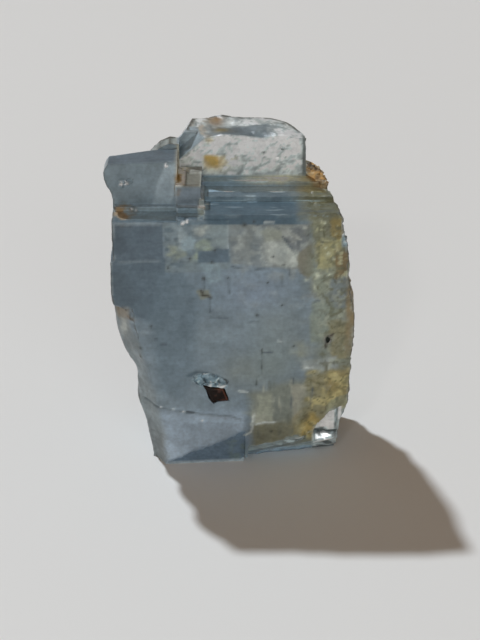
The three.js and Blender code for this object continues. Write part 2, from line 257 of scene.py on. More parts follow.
# Where the crystal changes character. The granular zone's inner edge wanders with height.
wander = noise(place, 2.6, 5, 3)
inner = np.interp(z, [0, 4, 8, 14, 18, 24, 28, 33, 37], [9.4, 8.8, 8.6, 9.6, 10.2, 10.4, 9.4, 9.2, 9.4])
granular = ramp(x + 1.6 * wander, inner - 0.7, inner + 1.5)
front = ramp(y, -5.0, -6.6) * ramp(normal[:, 1], -0.3, -0.7)
upward = ramp(normal[:, 2], 0.5, 0.9)
around = np.clip(ramp(normal[:, 1], 0.2, 0.5)
                 + ramp(np.abs(normal[:, 0]), 0.6, 0.85) * ramp(np.abs(x), 9, 10), 0, 1)
backward = ramp(normal[:, 1], 0.5, 0.8) * ramp(y, 5.5, 6.5)
near_face = ramp(y, -6.0, -6.6)
shelves = ramp(z, 34.3, 34.6) * (1 - around)
crest = ramp(z, 36.95, 37.25) * ramp(x, -6.9, -6.6) * ramp(y, 0.8, 1.1)
crest_front, crest_top = crest * ramp(y, 2.2, 1.6), crest * upward
notch_block = ramp(x, -6.9, -6.6) * ramp(x, -3.4, -3.7) * ramp(z, 38.0, 38.2) * ramp(y, -5.3, -5.0)
corner_block = ramp(z, 34.9, 35.3) * ramp(x, -6.4, -6.6) * ramp(y, 1.2, 0.9)
clear_corner = (ramp(x, 10.5, 10.9) * ramp(z, 8.4, 8.0) * ramp(y, -7.4, -7.0)
                * ramp(y + 1.5 * wander, -1.5, -4.0))
clear_corner *= ramp(normal[:, 0], 0.95, 0.8) * ramp(x, 14.5, 14.2)
glass_strip = ramp(normal[:, 2], -0.3, -0.5) * ramp(z, 4.8, 4.0) * ramp(y, -3.0, -4.0) * ramp(x, 1.4, 1.9)
edge_of_bevel = np.interp(z, [0, 5.2, 9.7, 13.8, 17.7, 21, 23.4],
                          [-8.5, -8.7, -9.9, -10.6, -11.6, -13.3, -14.6])
bevel = (ramp(x + 0.5 * wander, edge_of_bevel + 0.7, edge_of_bevel - 0.7)
         * ramp(z + 1.2 * wander, 23.6, 20.6))
CRACK = [(-11.2, 9.1), (-9.1, 8.5), (-7.2, 8.06), (-5.3, 7.83), (-3.6, 7.5), (-2.1, 7.4), (-0.1, 7.2),
         (1.3, 6.7)]
RIGHT_CRACK = [(3.2, 11.9), (3.25, 13), (3.95, 13.4), (3.9, 14.6), (4, 15.6), (3.9, 17)]
POCKET = (-2, 10.6)  # the middle of the brown crystal's pocket
off_pocket = np.hypot(x - POCKET[0], z - POCKET[1])
in_pocket = ramp(off_pocket, 2.5, 2.2) * ramp(y, FACE + 0.1, FACE + 0.4) * ramp(y, -6.0, -6.3)
outer = outward_corner(crystal, place, normal)
beside_pocket = ramp(off_pocket, 3.2, 2.6) * ramp(y, -6.0, -6.3)
worn_and_highlit = ramp(outer, 0.14, 0.3) * ramp(noise(place, 1.4, 7, 2), -0.2, 0.3) * (1 - beside_pocket)

LAMP = np.array([-0.36, 0.47, 0.82])  # towards the lamp


def shaded(low, high):
    """1 where the line from the surface to the lamp meets the box between two corners: the line is
    inside all three pairs of the box's planes at once."""
    start = place + 0.08 * normal  # clear of the surface itself
    one, other = (np.array(low) - start) / LAMP, (np.array(high) - start) / LAMP
    enter, leave = np.minimum(one, other).max(axis=1), np.maximum(one, other).min(axis=1)
    return (leave > np.maximum(enter, 0)).astype(float)


# What stands above the front's shelves, as boxes from a low corner to a high one.
CREST = (-6.7, 1.1, 30), (9.3, 6, 42.3)
CORNER_BLOCK = (-15.5, -3.8, 30), (-6.6, 0.8, 40.8)
NOTCH_BLOCK = (-6.7, -4.9, 30), (-3.7, 2, 38.2)
NOTCH_STEP = (-3.9, -5.3, 30), (-3.3, 0, 36.4)
SHELF = (-6.6, -3.7, 30), (20, 7, 36.2)
UPPER_SHELF = (-6.6, -0.5, 30), (20, 7, 36.8)
# Where these boxes cut off the lamp: the mask for the painted light and shade on the shelves and the notch
# block.
in_lamp_shadow = np.zeros(count)
for box in (CREST, CORNER_BLOCK, NOTCH_BLOCK, NOTCH_STEP, SHELF, UPPER_SHELF):
    in_lamp_shadow = np.maximum(in_lamp_shadow, shaded(*box))

# The relief, in mm outwards.
rise = 0.05 * bricks(place, (6.5, 5.0, 3.6), 71) + 0.03 * bricks(place, (3.1, 2.2, 1.7), 75) - 0.05
rise += 0.05 * noise(place, 3.2, 11, 2) + 0.012 * noise(place, 0.7, 13, 2)
rise += (granular * (0.2 * grains(place, 1.5, 21) + 0.1 * grains(place, 0.8, 31)
                     + 0.08 * noise(place, 1.1, 33, 3) - 0.06))
rise += bevel * (0.14 * noise(place, (1.1, 1.1, 2.2), 41, 3) - 0.05)
rise += backward * (0.16 * noise(place, 2.4, 43, 4) + 0.05 * grains(place, 1.0, 45) - 0.06)
striped = noise(place * (0.12, 1, 1), 0.42, 51, 2)
rise += shelves * (1 - crest) * upward * 0.03 * striped
rise += crest * 0.06 * noise(place * (0.45, 1, 1), 0.9, 61, 3)
flash = clear_corner * ramp(normal[:, 2], 0.3, 0.45) * ramp(z, 3.7, 3.4)
rise *= (1 - 0.9 * clear_corner) * (1 - flash)
rise -= 0.1 * worn_and_highlit * ramp(noise(place, 0.7, 9, 2), -0.1, 0.4)
ripple = np.sin(2 * np.pi * (0.5 * x + 0.9 * z + 0.25 * noise(place, 1.5, 17, 2)) / 1.5)
rise += (clear_corner * (1 - flash) * ramp(z, 4.0, 3.4) * 0.05 * ripple
         + flash * 0.012 * noise(place, 0.9, 19, 2))
chewed = area(x, z, [(-5, 12.6), (-3.6, 13.4), (-1.6, 13), (-0.4, 11.7), (-4.2, 11.8)], 0.5) * near_face
rise += chewed * (0.35 * grains(place, 0.8, 27) + 0.1 * noise(place, 0.5, 29, 2) - 0.08)
rise -= front * 0.14 * line(x, z, CRACK, 0.3)
rise -= front * 0.1 * line(x, z, RIGHT_CRACK, 0.3)
rise *= (1 - ramp(off_pocket, 2.3, 1.9) * ramp(y, -6.0, -6.3)) * ramp(z, 0.02, 0.5)
# Tiny facets that all lean one way, as cleavage chips do; each has a painted white glint in its middle.
SLOPE_RIGHT, SLOPE_UP = 0.17, -0.65
SPARKLES = ((-13.4, -3.8, 38.0), (-12.8, -3.8, 38.15), (-12.2, -3.8, 34.9), (-11.6, -3.8, 34.6),
            (-7.9, -3.8, 40.4), (-5.8, FACE, 34.6), (-5.3, FACE, 34.9), (5.8, 1.1, 39.3),
            (-2.6, -7.2, 12.0), (-1.5, -7.2, 11.55))
painted_glint = np.zeros(count)
for u, w, v in SPARKLES:
    away = np.hypot(np.hypot(x - u, z - v), 0.3 * (y - w))
    flake = ramp(away, 0.42, 0.3)
    rise = rise * (1 - flake) + flake * (SLOPE_RIGHT * (x - u) + SLOPE_UP * (z - v))
    painted_glint = np.maximum(painted_glint, ramp(away, 0.28, 0.12))
place = np.clip(place + normal * rise[:, None], *(np.array(corner) / MM for corner in cad_box))


# Its colours, as the eye sees them in even light, laid on one over another.
def seen(red, green, blue):
    """An sRGB colour, 0 to 255 a channel, as linear light."""
    value = np.array([red, green, blue]) / 255
    return np.where(value <= 0.04045, value / 12.92, ((value + 0.055) / 1.055) ** 2.4)


cloud = noise(place, 5.0, 101, 4)
veil = noise(place * (1, 0.6, 1), 1.6, 111, 3)
wisp = noise(place * (0.7, 0.6, 1.3), 0.9, 115, 3)
crumb = noise(place, 0.7, 119, 2)
tint = np.tile(seen(105, 117, 125), (count, 1))
clear = np.full(count, 0.42)
rough = np.full(count, 0.38)


def lay(where, colour, clearness=None, roughness=None):
    """Lays a colour over the crystal by how strong `where` is, with its clearness and roughness."""
    global tint, clear, rough
    where = np.clip(where, 0, 1)
    tint = tint + (seen(*colour) - tint) * where[:, None]
    if clearness is not None:
        clear = clear + (clearness - clear) * where
    if roughness is not None:
        rough = rough + (roughness - rough) * where


# The body: slate blue, darker at the left, in soft clouds.
lay(0.6 * ramp(cloud, 0.0, 0.5), (115, 126, 132))
lay(0.6 * ramp(cloud, -0.05, -0.5), (95, 108, 118))
lay(front * 0.4 * ramp(wisp, 0.1, 0.6), (124, 133, 137))
lay(front * ramp(x, 0, 2) * ramp(z, 20, 24) * ramp(noise(place, 1.3, 103, 4), 0.0, 0.4) * 0.6,
    (130, 134, 130), 0.3)
lay(area(x, z, [(-15, 34.3), (-8.4, 34.4), (-8.4, 29.6), (-15, 29.5)], 0.15), (80, 92, 101), 0.45, 0.32)
lay(area(x, z + around * (3.0 * wander + 2.0 * veil),
         [(-15, 29.5), (-8, 29.5), (-7.6, 24), (-9, 21), (-15, 23.5)], 0.8), (81, 94, 103), 0.45, 0.32)
lay(0.85 * area(x, z, [(-9.3, 22), (-8.3, 27), (-6.4, 27.6), (-4.6, 24), (-5, 15), (-6.3, 10.5),
                       (-8.5, 11.5)], 1.4), (88, 102, 111))
lay(0.8 * spot(x, z, (-3, 25.2), (2.4, 2.6)), (98, 112, 121))
lay(0.6 * spot(x, z, (-2.6, 17.5), (2.4, 3.4)), (112, 124, 130))
lay(front * line(x, z + 0.1 * crumb, [(-13.4, 29.75), (-9.2, 29.85)], 0.3) * 0.7, (74, 84, 92))
lay(front * line(x, z + 0.1 * crumb, [(-13.6, 29.35), (-8.8, 29.5)], 0.3) * 0.6, (112, 122, 127), 0.3)
lay(front * line(x, z + 0.1 * crumb, [(-13.8, 34.45), (-8.6, 34.5)], 0.3) * 0.6, (122, 132, 136), 0.3)
# Straight-edged fields of cloud in the front, where one cube face grew over another.
field = (front * area(x + 0.3 * wisp, z,
                      [(-8.2, 34.8), (-0.3, 35.4), (-0.2, 28.6), (-4.4, 28), (-7.9, 28.1)], 0.2))
lay(field * (0.75 + 0.5 * veil), (107, 118, 121), 0.42)
lay(field * ramp(wisp + 0.4 * crumb, -0.1, -0.45) * 0.8, (84, 97, 104), 0.45)
for outline, colour in (
        ([(-6.9, 34), (-6.4, 34.1), (-5.7, 32.9), (-6.3, 32.8)], (128, 138, 140)),
        ([(-4.3, 33.6), (-2.6, 34.8), (-2.5, 34.3), (-3.6, 33.3)], (144, 149, 144)),
        ([(-6, 31.2), (-5.9, 32.4), (-4.9, 32.9), (-4.6, 32.4), (-5.2, 30.9)], (128, 144, 150)),
        ([(-7.4, 31.2), (-6.6, 31.6), (-5.9, 30.2), (-7, 29.8)], (128, 134, 120)),
        ([(-4.4, 30), (-4.1, 31.4), (-3.3, 32.2), (-2.6, 32), (-2.6, 31.2), (-4, 30.8), (-4, 29.6)],
         (126, 136, 122)),
        ([(-2.4, 34.4), (-0.4, 34.8), (-0.4, 32), (-2.3, 32.4)], (116, 127, 128)),
        ([(-3.6, 28.9), (-1.6, 29.1), (-1.4, 27.4), (-2.6, 26.8)], (118, 134, 140))):
    lay(front * area(x + 0.8 * wisp, z + 0.8 * veil, outline, 0.6) * (0.7 + 0.7 * crumb), colour, 0.3)
lay(front * area(x, z + 0.05 * wisp, [(-3.9, 29.3), (-3.9, 30.75), (-1.9, 30.8), (-1.85, 31.1),
                                      (-0.2, 31.15), (-0.3, 29.4)], 0.1), (84, 98, 108), 0.5)
field = (front * area(x + 0.3 * wisp, z,
                      [(-0.1, 34.6), (9.6, 35), (9.4, 29), (8, 28.6), (4.4, 28.9), (0.2, 29.3)], 0.4))
lay(field * (0.85 + 0.4 * veil), (115, 118, 113), 0.4)
lay(field * ramp(noise(place, 1.2, 104, 4), -0.05, 0.3) * 0.75, (138, 143, 139), 0.3)
lay(field * ramp(noise(place, 1.4, 106, 4), 0.1, 0.35) * 0.65, (90, 98, 102), 0.4)
lay(front * area(x + 0.2 * crumb, z, [(6.2, 32.7), (7.1, 31.5), (8, 30.5), (8.6, 30.4), (8.3, 29.3),
                                      (7, 28.8), (5, 29.6), (4.2, 32)], 0.6) * (0.8 + 0.7 * veil),
    (140, 144, 138), 0.3)
lay(front * area(x + 0.4 * crumb, z + 0.4 * wisp,
                 [(5, 32.2), (6.6, 31.4), (8.2, 29.8), (7.4, 29), (5.6, 29.6)], 0.7)
    * ramp(noise(place, 0.9, 139, 3), -0.1, 0.3) * 0.8, (158, 162, 156), 0.2)
lay(front * area(x + 0.2 * crumb, z, [(3.9, 33.4), (4.6, 33.7), (6, 33.4), (6.2, 32.7), (4.4, 32.4)], 0.5)
    * 0.7, (128, 131, 118), 0.3)
slanted = np.stack([x * 0.9 - z * 0.44, y, z * 0.9 + x * 0.44], axis=1)
field = (front * area(x, z, [(6.3, 33.6), (9.6, 34.4), (9.6, 32.2), (8.4, 31.9), (8.6, 30.8), (7.4, 31.4),
                             (6.4, 32.8)], 0.2))
lay(field, (102, 106, 107), 0.4)
lay(field * ramp(noise(slanted * (0.35, 1, 1), 0.5, 117, 2), 0.1, 0.4), (134, 137, 132), 0.3)
lay(field * ramp(noise(slanted * (0.35, 1, 1), 0.5, 118, 2), 0.2, 0.45), (80, 84, 86), 0.4)
lay(front * area(x + 0.3 * wisp, z + 0.3 * crumb,
                 [(8.5, 30.2), (9.8, 31.6), (10.2, 28), (9.4, 27.3), (8.4, 28.8)], 0.4),
    (104, 101, 88), 0.35)
lay(front * 0.75 * spot(x, z, (3, 25), (4.2, 2.8)), (116, 128, 142))
lay(front * 0.5 * spot(x + wander, z + wander, (-3.5, 10.5), (5.5, 5)), (118, 131, 140))
lay(front * 0.45 * spot(x + wander, z + wander, (4.5, 19), (4.5, 4.5)), (120, 132, 138))
lay(front * 0.5 * spot(x, z, (6, 20), (3.2, 3.2)), (115, 123, 121))
lay(front * 0.7 * spot(x, z, (1.4, 13.9), (2.8, 2.4)) * (0.8 + 0.5 * veil), (122, 126, 116))
lay(front * 0.7 * spot(x, z, (5.4, 15), (2.6, 3.4)), (115, 124, 120))
lay(front * 0.6 * spot(x, z, (8.6, 17), (1.4, 1.5)) * (0.7 + wisp), (130, 131, 112), 0.3)
# Painted light: the lower left of the front is painted paler, for light coming through from behind.
lay(front * ramp(z + 0.4 * wander, 9.2, 7.0) * ramp(x, 2.6, 1.0) * 0.9, (130, 143, 155), 0.28)
lay(front * ramp(z + 0.5 * x, 1.5, -3.0) * ramp(x, -1.0, -4.0) * 0.9, (150, 164, 177), 0.2)
# The same on the back and the left side, with rust in a few of the steps.
for u0, u1, v0, v1, colour, strength in (
        (-4.6, 3.1, 29.1, 37.5, (122, 130, 130), 0.8), (-13.5, 1.1, -1, 13.8, (98, 109, 116), 0.7),
        (-13.5, -7.2, -1, 17.3, (118, 124, 124), 0.6), (6.3, 14, 15.2, 37.5, (112, 119, 113), 0.8),
        (4.4, 14, -1, 9.6, (124, 130, 126), 0.7), (-9.9, 8.2, 26.4, 30.5, (96, 108, 117), 0.6),
        (-2.0, 6.3, 14.5, 23.0, (118, 126, 130), 0.6), (-6.1, -2.2, -1, 7.9, (128, 134, 128), 0.6)):
    lay(backward * patch(x + 0.3 * wisp, z + 0.3 * wisp, u0, u1, v0, v1, 0.3) * strength
        * (0.8 + 0.9 * veil), colour, 0.35)
lay(backward * ramp(noise(place, 1.5, 105, 4), 0.1, 0.5) * 0.6, (134, 140, 138), 0.3)
lay(backward * ramp(noise(place, 1.9, 107, 4), 0.15, 0.5) * 0.6, (86, 97, 104), 0.45)
lay(backward * ridge(place, 3.4, 109, 0.025) * ramp(cloud, -0.1, 0.2) * 0.7, (68, 78, 84), 0.3)
lay(backward * ramp(outer, -0.08, -0.2) * ramp(cloud + veil, 0.1, 0.5) * 0.8, (108, 92, 68), 0.2, 0.6)
lay(around * ramp(x, -12, -13) * ramp(noise(place, (1, 1.6, 1.6), 113, 4), 0.05, 0.4) * 0.5,
    (122, 130, 132), 0.35)
# Lower right, tall narrow fields of pale, olive and yellow.
grained = noise(np.stack([x, y, z * 0.3], axis=1), 0.7, 123, 3)
lay(front * area(x + 0.9 * wisp, z + 0.9 * wander,
                 [(3.2, 10.6), (9.4, 11.6), (10.2, 6), (9, 2.2), (3.4, 2.2)], 1.6), (116, 119, 108), 0.35)
for outline, colour, strength in (
        ([(3.6, 10.2), (5.4, 10.2), (5.3, 6.8), (3.5, 6.6)], (140, 143, 128), 0.9),
        ([(8.1, 11.8), (9.8, 11.8), (9.8, 8), (8.2, 7.4)], (138, 137, 124), 0.9),
        ([(5.4, 11.8), (7.6, 11.6), (7.6, 7.2), (5.6, 6.8)], (106, 111, 104), 0.8),
        ([(3.1, 5.9), (5.6, 6.1), (9.3, 5.9), (9.6, 3.4), (3.1, 3)], (104, 102, 82), 0.8),
        ([(7.4, 6), (9.2, 8.4), (9.8, 7.6), (9.3, 4.6)], (128, 118, 84), 0.7)):
    lay(front * area(x + 0.3 * grained, z + 0.6 * grained, outline, 0.5) * strength * (0.9 + 0.6 * grained),
        colour, 0.3)
low_right = 0.6 * front * area(x, z, [(3, 12), (10, 13), (10, 3), (3, 3)], 0.6)
lay(low_right * ramp(grained, 0.25, 0.5), (148, 149, 136), 0.3)
lay(low_right * ramp(grained, -0.25, -0.5), (84, 88, 80), 0.3)
# The granular right edge: yellow-green, with paler grains and painted glints, mustard lower down.
lay(granular * (0.85 + 0.4 * veil), (113, 117, 103), 0.32, 0.45)
gritty = noise(place, 0.8, 121, 3)
for outline, colour in (
        ([(10, 36.5), (12.4, 36.8), (12.8, 32), (10.4, 31.6)], (114, 114, 92)),
        ([(12.2, 38), (13.5, 37), (13.6, 31.5), (12.4, 33.5)], (122, 107, 62)),
        ([(10.7, 31.8), (13.4, 31.8), (13.6, 28.2), (12.6, 27.4), (10.9, 28.4)], (142, 137, 98)),
        ([(13.2, 30.6), (14.3, 30.6), (14.3, 26.6), (13, 27)], (104, 86, 56)),
        ([(10.4, 28.2), (12.6, 28), (12.4, 25.4), (10.6, 25.6)], (122, 128, 114)),
        ([(12.6, 26.6), (14.2, 26.6), (14.2, 22.8), (12.7, 23)], (100, 108, 110)),
        ([(10.2, 23.6), (12.6, 23.4), (12.8, 18.6), (10.2, 18.2)], (114, 122, 113)),
        ([(12.6, 20.6), (14.6, 20.4), (14.4, 15.6), (13, 15.6)], (118, 113, 86)),
        ([(9.3, 15.3), (13.2, 15.7), (13.2, 14.3), (9.3, 14.3)], (134, 140, 138))):
    lay(area(x + 0.5 * gritty, z + 0.5 * wisp, outline, 0.6) * ramp(y, 3.0, -3.0)
        * (0.9 + 0.4 * gritty), colour)
lay(granular * ramp(gritty, 0.15, 0.45) * ramp(z, 25, 28) * 0.8, (160, 160, 130), 0.35)
lay(granular * ramp(gritty, 0.1, 0.45) * ramp(z, 28, 25) * 0.6, (142, 146, 132), 0.35)
lay(granular * ramp(noise(place, 0.6, 125, 2), 0.15, 0.45) * 0.7, (86, 86, 66))
lay(granular * ridge(place, 1.3, 127, 0.07) * 0.6, (78, 76, 58))
# Painted glints: small pale spots where the grains would catch the light.
for u, v, size in (
        (11.4, 34.5, 0.3), (10.9, 35.0, 0.3), (12.2, 27.4, 0.3), (10.7, 27.4, 0.5), (9.4, 26.8, 0.4),
        (10.5, 25.8, 0.4), (12.0, 30.2, 0.3), (11.6, 31.2, 0.25), (12.6, 29.4, 0.3), (13.3, 10.5, 0.3),
        (7.8, 3.4, 0.4)):
    lay(ramp(y, -3, -5) * spot(x + 0.4 * crumb, z + 0.4 * gritty, (u, v), (0.7 * size, 0.6 * size), u)
        * 0.8, (178, 182, 164), 0.2, 0.3)
lay(ramp(x, 13.5, 13.9) * ramp(z, 30.8, 31.4) * ramp(z, 35.4, 34.8) * ramp(y, -3, -6),
    (126, 146, 156), 0.45, 0.15)
lay(ramp(x, 13.6, 13.9) * ramp(z, 31.4, 32.0) * ramp(z, 34.8, 34.2) * ramp(y, -3, -6)
    * ramp(crumb, 0.1, 0.4), (210, 218, 220), 0.2, 0.15)
mustard = area(x + 0.9 * wander + 0.7 * gritty, z + 0.9 * wisp,
               [(10.6, 13.2), (15, 13.6), (15, 8.4), (13.6, 8), (11.2, 5.6), (10.2, 3.4), (9.3, 3.6),
                (10.2, 8)], 1.4)
mustard *= ramp(y, 6, -2)
lay(0.85 * mustard, (122, 116, 88), 0.25, 0.45)
lay(0.8 * mustard
    * area(x + 0.6 * gritty, z, [(9.4, 3.6), (9.5, 5.8), (10.4, 7.4), (11, 6.2), (10.5, 3.4)], 0.8),
    (146, 127, 72))
lay(0.7 * mustard * area(x + 0.6 * gritty, z + 0.6 * wisp,
                         [(12.6, 13.4), (14.4, 13.2), (14.2, 9.8), (12.8, 9.2)], 1.0), (130, 116, 72))
lay(0.8 * mustard * ramp(veil + 0.6 * crumb, -0.05, 0.45), (160, 151, 108))
lay(0.7 * mustard * ramp(gritty, 0.1, 0.45), (90, 86, 60))
lay(0.8 * mustard * ridge(slanted * (0.5, 1, 1), 1.4, 129, 0.08), (76, 72, 48))
lay(ramp(x, 14.2, 14.7) * ramp(z + 3.0 * wander, 14.5, 19) * ramp(z + 1.5 * wisp + 2.0 * veil, 27.4, 24.5)
    * ramp(y + 3.0 * veil, 2.5, -2.5) * (0.8 + 0.8 * gritty), (118, 104, 78), 0.3, 0.5)
lay(ramp(x, 14.2, 14.5) * ramp(z + 0.3 * wisp, 25.8, 26.2) * ramp(z, 27.6, 27.2) * ramp(y + wisp, -5, -6)
    * (0.7 + crumb), (160, 160, 146), 0.3, 0.3)
# The lower edge: a translucent bevel at the left, a dark cleaved facet, a glassy slope.
bevel *= 1 - 0.9 * around * ramp(z + 2.5 * wander + 2.0 * veil, 11, 20)
lay(bevel, (118, 126, 128), 0.42, 0.3)
lay(bevel * ramp(noise(place, (1.0, 1.0, 2.0), 131, 3), 0.0, 0.4) * 0.7, (104, 111, 114))
lay(bevel * ridge(place * (1, 1, 0.6), 1.5, 133, 0.05) * 0.6, (92, 98, 98))
lay(bevel * ramp(z, 14.0, 18.0) * 0.85, (90, 95, 95), 0.35)
lay(bevel * ramp(z, 13.6, 12.6) * ramp(z, 5.0, 9.0) * ramp(wisp + veil, -0.1, 0.4) * 0.6,
    (140, 150, 154), 0.35)
low_side = (np.interp(x, [-8.5, -5.4, -2.1, 1.15, 1.7], [0.2, 1.84, 3.07, 4.74, 5.0]) + 0.35 * wisp
            + 0.2 * crumb)
cleaved = (ramp(y, FACE + 2.5, FACE + 1.2) * ramp(z, low_side + 0.3, low_side - 0.3) * ramp(x, 2.6, 1.6)
           * ramp(x, -8.9, -8.4))
lay(cleaved, (94, 112, 128), 0.4, 0.25)
lay(cleaved * ramp(x, -1.5, 1.0) * ramp(gritty, -0.1, 0.3) * 0.6, (96, 110, 104), 0.3)
# Painted highlight: a pale line along the lit bottom edge.
lay(cleaved * ramp(z, 0.6, 0.2) * 0.8, (142, 154, 162), 0.2)
lay(front * 0.8 * line(x + 0.3 * crumb, z, [(1.8, 4.4), (2.6, 4.9), (3, 7.6)], 0.28), (168, 172, 166), 0.2)
lay(glass_strip, (132, 144, 144), 0.35, 0.12)
lay(glass_strip * ramp(z + 0.3 * wisp, 1.5, 1.0), (128, 150, 164), 0.3)
lay(glass_strip * ramp(z, 0.35, 0.2), (92, 108, 120), 0.3)
lay(front * area(x, z + 0.3 * crumb, [(6.8, 2.4), (7, 4), (8.4, 4.4), (9.6, 4), (9.8, 2.6)], 0.2),
    (120, 130, 128), 0.3, 0.12)
# Painted glint on the glassy slope.
lay(ramp(y, -5.2, -5.8)
    * area(x + 0.4 * crumb, z + 0.3 * wisp, [(7, 3.3), (7.4, 3.5), (8.4, 2.5), (8.1, 2.1)], 0.2),
    (164, 180, 186), 0.03, 0.1)
lay(ramp(y, -6.3, -6.8) * area(x + 0.4 * crumb, z, [(8.3, 3.2), (9.6, 3.3), (9.8, 2.2), (8.4, 2.2)], 0.3)
    * 0.7, (84, 92, 90), 0.4)
lay(ramp(x, 12.0, 13.4) * ramp(z + 1.6 * veil, 8.0, 6.0) * ramp(y + 2 * veil, 5.0, 1.0),
    (120, 132, 136), 0.5, 0.15)
lay(clear_corner, (184, 196, 200), 0.03, 0.15)
under = clear_corner * ramp(normal[:, 2], -0.3, -0.45)
# Painted shade: a band of the corner's downward faces, under the overhang, is painted dark.
lay(under * ramp(z, 5.2, 4.8) * ramp(z, 3.0, 3.2), (70, 76, 76), 0.3)
under *= ramp(z, 2.7, 2.4)
lay(under, (148, 158, 160), 0.3, 0.12)
lay(under * ramp(ripple + crumb, -0.1, 0.4), (74, 82, 84), 0.4)
lay(flash, (162, 178, 184), 0.05, 0.1)
lay(flash * ramp(x + 0.5 * crumb + 0.4 * wisp, 11.8, 11.2) * ramp(ripple, 0.6, -0.4),
    (92, 102, 104), 0.3, 0.3)
lay(flash * ramp(x - 0.4 * crumb, 13.1, 13.4), (120, 130, 132), 0.3, 0.3)
# More painted shade: the dark band carried over the recessed face, fading to the right.
lay(clear_corner * area(x, z + 0.2 * crumb, [(10.7, 2.9), (10.7, 4.3), (13.6, 4.3), (13.6, 3.1)], 0.15)
    * ramp(y, -6.2, -5.9) * ramp(x + 1.2 * wisp, 13.6, 12.4), (76, 84, 84), 0.3)
# Painted light: the fold's shaded left end is painted pale.
lay(clear_corner * ramp(x, 11.5, 11.0) * ramp(z, 3.9, 3.4) * (0.6 + 0.4 * ripple),
    (166, 178, 180), 0.05, 0.15)
lay(clear_corner * ramp(normal[:, 0], 0.4, 0.7) * ramp(x, 12.5, 13.0) * 0.8, (136, 146, 144), 0.2)
lay(clear_corner * ramp(z, 0.45, 0.25), (60, 68, 72), 0.4)
lay(clear_corner * line(x + 0.15 * crumb, z, [(13.75, 7.2), (13.55, 2.6)], 0.34), (84, 92, 92), 0.4)
fringe = (front
          * area(x + 0.2 * crumb, z, [(12.3, 7.9), (13, 9.4), (15.1, 10.2), (15.1, 8.6), (13.8, 8)], 0.3))
lay(fringe * 0.8, (112, 112, 92), 0.3)
lay(fringe * ramp(noise(slanted * (1, 1, 0.3), 0.4, 135, 2), 0.05, 0.35) * 0.6, (136, 136, 108), 0.3)
lay(fringe * ramp(noise(slanted * (1, 1, 0.3), 0.4, 136, 2), 0.1, 0.35) * 0.7, (78, 80, 66), 0.3)
# The shelves and the corner block. Their tops let more light in than they send back. As painted light,
# the tops are painted darker and the fronts of the steps paler, to even out the lamp and the shade.
riser = shelves * (1 - upward) * ramp(y, -7.4, -6.8)
lay(shelves * ramp(x, -6.7, -6.5) * ramp(x, 10.0, 9.0), (88, 103, 112), 0.3, 0.3)
lay(riser * ramp(x, -6.7, -6.5) * ramp(x, 10.0, 9.0), (98, 114, 123), 0.15, 0.3)
lay(riser * ramp(x, -6.4, -6.7) * ramp(z, 36.0, 35.4), (114, 127, 131), 0.2, 0.3)
lay(shelves * upward * 0.95, (74, 87, 95), 0.35, 0.42)
lay(shelves * ramp(x, 0.0, 5.0) * ramp(y, -3.4, -0.6) * ramp(z, 36.2, 36.6) * (0.8 + 0.5 * veil),
    (142, 139, 118), 0.3)
lay(shelves * ramp(x, 6.6, 9.0) * ramp(z, 35.6, 35.9) * ramp(x, 12, 10) * (0.8 + veil), (108, 102, 78), 0.3)
lay(shelves * ramp(x + wisp, 7.6, 10.0) * ramp(z, 34.6, 35.2) * (0.8 + 0.5 * veil), (92, 91, 70), 0.35)
lay(shelves * ramp(x, -3.2, -2.6) * ramp(x, 8.5, 7.5) * ramp(y, -3.5, -4.2), (63, 81, 92), 0.42)
# Painted highlights: the pale streaks along the shelves; the dark streaks are tone.
streak = noise(place * (0.16, 1, 1), 0.45, 161, 2)
lay(shelves * ramp(streak, 0.35, 0.6) * ramp(x, -4, -3) * 0.7, (132, 146, 152), 0.3)
lay(shelves * ramp(streak, -0.3, -0.55) * ramp(x, -4, -3) * 0.4, (76, 88, 96), 0.3)
lay(corner_block, (110, 122, 128), 0.4, 0.3)
lay(corner_block * area(x + 0.3 * crumb, z + 0.4 * wisp,
                        [(-9.4, 35.3), (-6.7, 35.3), (-6.7, 40.4), (-8, 40.2), (-8.9, 37.5)], 0.4)
    * (0.85 + 0.5 * veil + 0.3 * crumb), (136, 148, 154), 0.3)
lay(corner_block * patch(x, z, -7.4, -6.65, 35.4, 39.4, 0.2) * (0.5 + crumb), (150, 160, 164), 0.3)
lay(corner_block * upward, (82, 93, 101), 0.4, 0.4)
chip = ramp(z, 37.9, 38.1) * ramp(x, -6.5, -6.7) * ramp(y, 0.4, 0.6)
lay(chip, (140, 146, 144), 0.4, 0.3)
lay(chip * ramp(wisp, 0.0, 0.3) * 0.8, (98, 106, 106), 0.4)
lay(chip * ridge(place, 0.9, 153, 0.08), (80, 84, 82))
lay(chip * ramp(outer, 0.06, 0.16), (72, 74, 70), 0.2)
lay(notch_block, (144, 144, 134), 0.05, 0.4)
# Painted light: the tops the lamp reaches are painted darker, its brightest patch darker still.
lay(notch_block * upward * (1 - in_lamp_shadow), (104, 102, 92), 0.4, 0.4)
lamp_lit_patch = notch_block * patch(x, y, -5.4, -3.2, -1.2, 1.3, 0.5)
lay(lamp_lit_patch, (120, 119, 112), 0.3, 0.4)
lay(notch_block * ridge(place, 1.2, 163, 0.16) * 0.7, (96, 92, 82))
lay(notch_block * line(x, y + 0.1 * crumb, [(-6, -4.75), (-4, -4.7)], 0.36) * ramp(crumb, -0.4, 0.0),
    (60, 52, 42), 0.2)
step_left = (ramp(x, -6.8, -6.6) * ramp(x, -3.2, -3.5) * ramp(z, 38.2, 38.0) * ramp(z, 35.0, 35.3)
             * ramp(y, -5.6, -5.3))
lay(step_left * 0.8, (97, 105, 112), 0.35, 0.3)
lay(patch(x, z, -4.0, -3.1, 35.1, 36.7, 0.1) * ramp(y, -4.7, -5.1) * (0.7 + crumb),
    (138, 143, 136), 0.2, 0.3)
